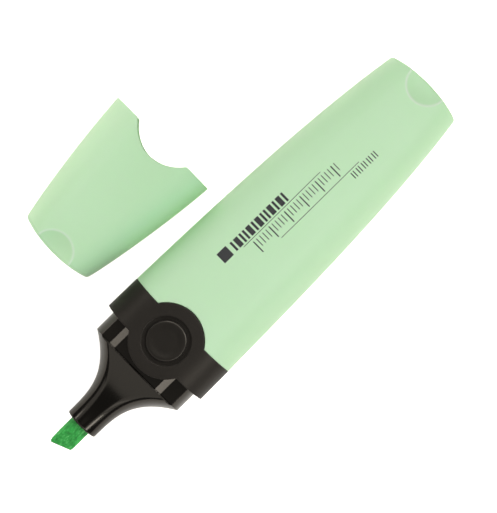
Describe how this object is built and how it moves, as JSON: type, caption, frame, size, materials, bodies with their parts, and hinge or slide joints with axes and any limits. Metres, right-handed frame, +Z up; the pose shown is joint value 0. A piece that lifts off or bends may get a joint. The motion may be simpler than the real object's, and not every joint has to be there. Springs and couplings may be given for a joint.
{
  "type": "highlighter",
  "caption": "Flat chisel-tip highlighter with its cap pulled off and laid beside it; the cap slides parallel to the pen.",
  "frame": {"origin": "Centre of the footprint of pen and cap together, on the surface that they lie on.", "axes": "+X runs along the pen from the nib towards the closed end of the barrel, +Y points from the pen towards the cap beside it, +Z is up."},
  "size_m": [0.1068, 0.0562, 0.0166],
  "materials": {
    "barrel_plastic": "pastel green moulded plastic, silky matt",
    "section_plastic": "black moulded plastic, glossy in front and finely grained on the collar",
    "button_plastic": "black moulded plastic, satin",
    "nib_felt": "bonded felt soaked in green ink",
    "ink_fibre": "fibre soaked in green ink",
    "clear_film": "thin clear film",
    "cap_plastic": "pastel green moulded plastic, silky matt",
    "inner_cap_plastic": "pale natural plastic, matt"
  },
  "bodies": {
    "pen": {"barrel": "barrel_plastic", "nib_section": "section_plastic", "top_button": "button_plastic", "bottom_button": "button_plastic", "nib": "nib_felt", "reservoir_core": "ink_fibre", "reservoir_film": "clear_film"},
    "cap": {"cap_shell": "cap_plastic", "inner_cap": "inner_cap_plastic"}
  },
  "joints": [
    {"name": "cap_slide", "type": "slide", "parent": "pen", "child": "cap", "axis": [-1, 0, 0], "range_m": [0, 0.0323]}
  ]
}
